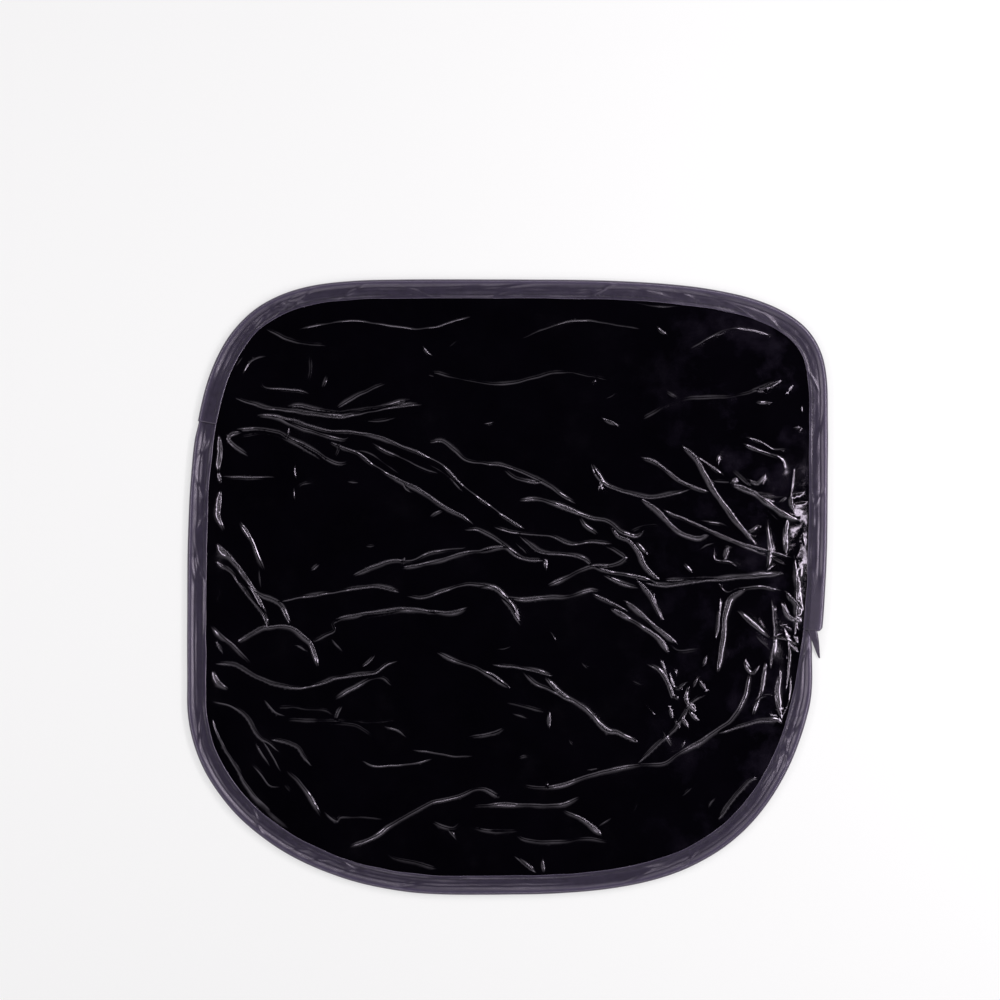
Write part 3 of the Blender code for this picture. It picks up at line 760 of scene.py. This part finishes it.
def folded_tape(name, start, end, upper):
    """A length of tape: a grid folded over the wire along the rim, then given its thickness."""
    count = round((end - start) / TAPE_STEP)
    rows = 2 * (LEAF_ROWS + NOSE_ROWS)
    bpy.ops.mesh.primitive_grid_add(x_subdivisions=count, y_subdivisions=rows, size=1)
    tape = bpy.context.object
    tape.name = tape.data.name = name
    corners = np.array([v.co for v in tape.data.vertices])
    along = start + (corners[:, 0] + 0.5) * (end - start)
    across = np.rint((corners[:, 1] + 0.5) * rows - rows / 2)
    side = np.where(across >= 0, 1.0, -1.0)
    steps = np.abs(across)
    share = np.clip((steps - NOSE_ROWS) / LEAF_ROWS, 0, 1)
    turn = np.clip(steps / NOSE_ROWS, 0, 1) * math.pi / 2
    wire_at, inset, height, radius = tape_face(along, share, side, upper)
    bent = steps < NOSE_ROWS
    bulge = NOSE_WANDER * ripples(along, 0 * along, 5, 45, 1)
    inset[bent] = wire_at[bent] - (radius[bent] + bulge[bent]) * np.cos(turn[bent])
    height[bent] = radius[bent] * np.sin(turn[bent])
    walk = along
    if upper:
        near_end = np.clip(1 - along / (2 * CORNER_ROUNDING), 0, 1)
        rounded = near_end * (1 - smooth((inset + 0.0005) / CORNER_ROUNDING))
        walk = along + 0.8 * CORNER_ROUNDING * rounded
    place, inward = rim_at(walk)
    spots = place + inward * inset[:, None]
    lifted = MID_HEIGHT + side * height
    tape.data.vertices.foreach_set("co", np.column_stack([spots, lifted]).ravel())
    across_m = side * (np.minimum(steps, NOSE_ROWS) / NOSE_ROWS * FOLD_RADIUS * math.pi / 2
                       + share * (RIM_WIDTH - FOLD_RADIUS))
    unrolled = np.column_stack([along - start, across_m])
    loops = np.zeros(len(tape.data.loops), np.int32)
    tape.data.loops.foreach_get("vertex_index", loops)
    tape.data.uv_layers.active.data.foreach_set("uv", unrolled[loops].ravel())
    # Lighter along the wire's crest and along the free edge: partly wear, partly a painted highlight
    # where the fold and the edge catch the light.
    rub_and_glint = tape.data.attributes.new("rub_and_glint", "FLOAT", "POINT")
    selvedge = smooth((share - 0.93) / 0.07) * (0.6 + 0.6 * ripples(along, 0 * along, 9, 24, 1))
    worn_and_glint = np.exp(-((inset - wire_at) / 0.0011) ** 2) + 1.4 * selvedge
    rub_and_glint.data.foreach_set("value", worn_and_glint.astype(np.float32))
    tape.data.update()
    if min(tape.data.polygons, key=lambda face: face.center.z).normal.z > 0:
        bpy.ops.object.mode_set(mode="EDIT")
        bpy.ops.mesh.flip_normals()
        bpy.ops.object.mode_set(mode="OBJECT")
    bpy.ops.object.shade_smooth()
    wall = tape.modifiers.new("tape thickness", "SOLIDIFY")
    wall.thickness = TAPE_THICKNESS
    wall.offset = -1.0
    wall.use_even_offset = True
    bpy.ops.object.modifier_apply(modifier=wall.name)
    tape.select_set(False)
    return tape


upper_tape = folded_tape("upper_tape", 0.0, LEFT_LAP, True)
lower_tape = folded_tape("lower_tape", LEFT_LAP - TUCK, ROUND + TUCK, False)

# The cut end's loose corner at the right lap, a point of tape that drops beside the drawn-in rim
CORNER_FROM, CORNER_TO = (811.2, 627.0), (819.2, 658.0)
CORNER_WIDTH, CORNER_TIP = 0.0054, 0.0006
CORNER_HIGH, CORNER_LOW, CORNER_CURL = 0.0037, 0.0011, 0.0006
bpy.ops.mesh.primitive_grid_add(x_subdivisions=12, y_subdivisions=4, size=1)
loose_corner = bpy.context.object
base, tip = from_pixels((CORNER_FROM, CORNER_TO))
way = (tip - base) / np.linalg.norm(tip - base)
for vertex in loose_corner.data.vertices:
    share, across = vertex.co.x + 0.5, vertex.co.y
    width = CORNER_WIDTH + (CORNER_TIP - CORNER_WIDTH) * share ** 1.7
    spot = base + (tip - base) * share + np.array([-way[1], way[0]]) * across * width
    fallen = float(smooth((share - 0.35) / 0.65))
    high = CORNER_HIGH + (CORNER_LOW - CORNER_HIGH) * fallen + CORNER_CURL * fallen * across
    vertex.co = (*spot, high)
for spot in loose_corner.data.uv_layers.active.data:
    spot.uv = (spot.uv.x * np.linalg.norm(tip - base), spot.uv.y * CORNER_WIDTH)
loose_corner.data.update()
bpy.ops.object.shade_smooth()
wall = loose_corner.modifiers.new("tape thickness", "SOLIDIFY")
wall.thickness = TAPE_THICKNESS
wall.offset = 0.0
bpy.ops.object.modifier_apply(modifier=wall.name)
upper_tape.select_set(True)
bpy.context.view_layer.objects.active = upper_tape
bpy.ops.object.join()
bpy.ops.object.select_all(action="DESELECT")

weave, nodes, links = new_material("black_woven_tape")
shader = nodes["Principled BSDF"]
shader.inputs["Sheen Weight"].default_value = 0.18
shader.inputs["Sheen Roughness"].default_value = 0.4
shader.inputs["Sheen Tint"].default_value = (0.85, 0.74, 1.0, 1.0)
shader.inputs["Specular IOR Level"].default_value = 1.0
shader.inputs["Specular Tint"].default_value = (0.95, 0.86, 1.0, 1.0)
unrolled = nodes.new("ShaderNodeUVMap").outputs["UV"]
places = nodes.new("ShaderNodeTexCoord").outputs["Object"]
rub_and_glint = nodes.new("ShaderNodeAttribute")
rub_and_glint.attribute_name = "rub_and_glint"
yarns = nodes.new("ShaderNodeTexWave")
yarns.wave_type = "BANDS"
yarns.bands_direction = "X"
yarns.inputs["Scale"].default_value = 2 * math.pi / (20 * YARN_PITCH)
yarns.inputs["Distortion"].default_value = 0.6
links.new(unrolled, yarns.inputs["Vector"])
ends = nodes.new("ShaderNodeTexWave")
ends.wave_type = "BANDS"
ends.bands_direction = "Y"
ends.inputs["Scale"].default_value = 2 * math.pi / (20 * END_PITCH)
ends.inputs["Distortion"].default_value = 0.4
links.new(unrolled, ends.inputs["Vector"])
lint = add_noise(nodes, links, places, 260.0, 5.0, 0.65)
mottle = nodes.new("ShaderNodeMix")
mottle.data_type = "FLOAT"
mottle.inputs["Factor"].default_value = 0.35
links.new(lint, mottle.inputs["A"])
links.new(yarns.outputs["Fac"], mottle.inputs["B"])
charcoal = add_colours(nodes, links, mottle.outputs["Result"], (0.25, (0.012, 0.0095, 0.018)),
                       (0.75, (0.040, 0.032, 0.061)))
# Where rubbed, the tape is painted lighter: partly wear, partly a painted highlight along the wire's
# crest and the free edge.
lighter = nodes.new("ShaderNodeMix")
lighter.data_type = "RGBA"
lighter.inputs["B"].default_value = (0.120, 0.099, 0.165, 1.0)
links.new(add_range(nodes, links, rub_and_glint.outputs["Fac"], 0.0, 1.0, 0.0, 0.45), lighter.inputs["Factor"])
links.new(charcoal, lighter.inputs["A"])
links.new(lighter.outputs["Result"], shader.inputs["Base Color"])
links.new(add_range(nodes, links, rub_and_glint.outputs["Fac"], 0.0, 1.0, 0.30, 0.26), shader.inputs["Roughness"])
bump = add_bump(nodes, links, yarns.outputs["Fac"], 0.00003, 0.6)
bump = add_bump(nodes, links, ends.outputs["Fac"], 0.00002, 0.5, bump)
links.new(add_bump(nodes, links, lint, 0.00006, 0.5, bump), shader.inputs["Normal"])
for tape, node, length in ((upper_tape, "upper_binding", LEFT_LAP),
                           (lower_tape, "lower_binding", ROUND - LEFT_LAP + 2 * TUCK)):
    tape.data.materials.append(weave)
    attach(tape, "root")
    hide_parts(node)


# Stitching. Real piece: black polyester thread in a lockstitch that joins both leaves of the tape
# and the film between them, 2 mm in from the tape's free edge, and shows alike on both faces.

STITCH_LENGTH = 0.0024
THREAD_RADIUS = 0.00017
bpy.ops.mesh.primitive_uv_sphere_add(segments=8, ring_count=6, radius=1.0, rotation=(0, math.pi / 2, 0))
stitch = bpy.context.object
stitch.name = stitch.data.name = "rim_stitching"
bpy.ops.object.transform_apply(location=True, rotation=True, scale=True)
stitch_size = (STITCH_LENGTH / 2, THREAD_RADIUS, THREAD_RADIUS)
shape = np.array([v.co for v in stitch.data.vertices]) * stitch_size
shape_faces = np.array([list(face.vertices) + [face.vertices[-1]] * (4 - len(face.vertices))
                        for face in stitch.data.polygons])
count = round(ROUND / STITCH_PITCH)
spots = (np.arange(count) + 0.5) * ROUND / count
vertices, faces = [], []
for upper, at in ((True, spots[spots < LEFT_LAP]), (False, spots[spots >= LEFT_LAP])):
    wire_at = np.full(len(at), FOLD_RADIUS) if upper else wire_inset(at)
    place, inward = rim_at(at)
    for side in (1.0, -1.0):
        part = (STITCH_INSET - wire_at) / (RIM_WIDTH - wire_at)
        _, inset, height, _ = tape_face(at, part, np.full(len(at), side), upper)
        for spot, way, away, high in zip(place, inward, inset, height):
            sink = 0.12 * noise.noise(Vector((*spot, side)) * 900)
            turned = np.column_stack([[way[1], -way[0], sink], [way[0], way[1], 0], [0, 0, 1]])
            centre = np.array([*(spot + way * away), MID_HEIGHT + side * (high + 0.4 * THREAD_RADIUS)])
            faces.append(shape_faces + len(vertices) * len(shape))
            vertices.append(shape @ turned.T + centre)
mesh = bpy.data.meshes.new("rim_stitching")
faces = [list(dict.fromkeys(face)) for face in np.vstack(faces).tolist()]
mesh.from_pydata(np.vstack(vertices).tolist(), [], faces)
mesh.shade_smooth()
single, stitch.data = stitch.data, mesh
bpy.data.meshes.remove(single)

thread, nodes, links = new_material("black_polyester_thread")
shader = nodes["Principled BSDF"]
shader.inputs["Sheen Weight"].default_value = 0.2
places = nodes.new("ShaderNodeTexCoord").outputs["Object"]
twist = add_noise(nodes, links, places, 3000.0, 2.0)
links.new(add_colours(nodes, links, twist, (0.3, (0.012, 0.010, 0.015)), (0.7, (0.036, 0.031, 0.046))),
          shader.inputs["Base Color"])
links.new(add_range(nodes, links, twist, 0.2, 0.8, 0.4, 0.6), shader.inputs["Roughness"])
stitch.data.materials.append(thread)
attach(stitch, "root")


# Studio. The shade lies on a plain pale floor, seen from straight above. Long lamps low at its
# sides catch the creases, and the dark ceiling leaves the flat film black.

# The share of plain white in the floor as it is seen; the rest is its lit surface, with the shadow
FLOOR_WHITE = 0.5
FLOOR_SIZE = 24.0
FLOOR_GAP = 0.0001
bpy.ops.mesh.primitive_plane_add(size=FLOOR_SIZE, location=(0, 0, cad_low.z - FLOOR_GAP))
floor = bpy.context.object
floor.name = "floor"
paper, nodes, links = new_material("pale_floor")
shader = nodes["Principled BSDF"]
shader.inputs["Base Color"].default_value = (0.96, 0.96, 0.96, 1.0)
shader.inputs["Roughness"].default_value = 0.9
shader.inputs["Specular IOR Level"].default_value = 0.1
white = nodes.new("ShaderNodeEmission")
rays = nodes.new("ShaderNodeLightPath")
seen = rays.outputs["Is Camera Ray"]
for kind in ("Is Glossy Ray", "Is Transmission Ray"):
    either = nodes.new("ShaderNodeMath")
    either.operation = "MAXIMUM"
    links.new(seen, either.inputs[0])
    links.new(rays.outputs[kind], either.inputs[1])
    seen = either.outputs["Value"]
lit = nodes.new("ShaderNodeMixShader")
links.new(add_range(nodes, links, seen, 0.0, 1.0, 0.0, FLOOR_WHITE), lit.inputs["Fac"])
links.new(shader.outputs["BSDF"], lit.inputs[1])
links.new(white.outputs["Emission"], lit.inputs[2])
links.new(lit.outputs["Shader"], nodes["Material Output"].inputs["Surface"])
floor.data.materials.append(paper)
floor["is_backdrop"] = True

# The walls' grey by how high they are: a dim band low down, pale walls and a black ceiling
WALL_GREYS = ((0.0, 0.55), (0.16, 0.06), (0.36, 0.10), (0.50, 1.0), (0.72, 1.0), (0.93, 0.001))
WALL_STRENGTH = 0.8
world = bpy.data.worlds.new("studio")
bpy.context.scene.world = world
world.use_nodes = True
nodes, links = world.node_tree.nodes, world.node_tree.links
direction = nodes.new("ShaderNodeTexCoord")
parts = nodes.new("ShaderNodeSeparateXYZ")
links.new(direction.outputs["Generated"], parts.inputs["Vector"])
walls = add_colours(nodes, links, parts.outputs["Z"], *((up, (grey,) * 3) for up, grey in WALL_GREYS))
links.new(walls, nodes["Background"].inputs["Color"])
nodes["Background"].inputs["Strength"].default_value = WALL_STRENGTH


def add_lamp(name, place, round_it, towards_it, radiance):
    """A long soft lamp aimed at the shade, with its sizes round the shade and towards the ceiling."""
    lamp = bpy.data.lights.new(name, "AREA")
    lamp.shape = "RECTANGLE"
    lamp.size, lamp.size_y = round_it, towards_it
    lamp.energy = radiance * math.pi * round_it * towards_it
    lamp.color = (1.0, 0.965, 1.0)
    held = bpy.data.objects.new(name, lamp)
    bpy.context.scene.collection.objects.link(held)
    held.location = place
    held.rotation_mode = "QUATERNION"
    held.rotation_quaternion = (-Vector(place)).to_track_quat("-Z", "Y")


add_lamp("right_lamp", (0.62, 0.06, 0.62), 0.90, 0.07, 13.5)
add_lamp("right_standing_lamp", (0.64, 0.02, 0.62), 0.035, 0.75, 10.5)
add_lamp("right_corner_lamp", (0.46, 0.56, 0.64), 0.60, 0.045, 16.0)
add_lamp("left_lamp", (-0.66, 0.05, 0.62), 0.80, 0.045, 14.0)
add_lamp("top_lamp", (-0.1, 0.80, 0.66), 0.80, 0.04, 5.0)
add_lamp("near_lamp", (0.1, -0.80, 0.66), 0.90, 0.04, 5.5)

FRAME_PIXELS = 1000
LENS = 85.0
camera_data = bpy.data.cameras.new("camera")
camera_data.lens = LENS
camera = bpy.data.objects.new("camera", camera_data)
bpy.context.scene.collection.objects.link(camera)
bpy.context.scene.camera = camera
distance = FRAME_PIXELS * PIXEL * LENS / camera_data.sensor_width
camera.location = ((FRAME_PIXELS / 2 - MIDDLE_PIXEL[0]) * PIXEL,
                   (MIDDLE_PIXEL[1] - FRAME_PIXELS / 2) * PIXEL, distance)
bpy.context.scene.view_settings.view_transform = "Standard"

low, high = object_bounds()
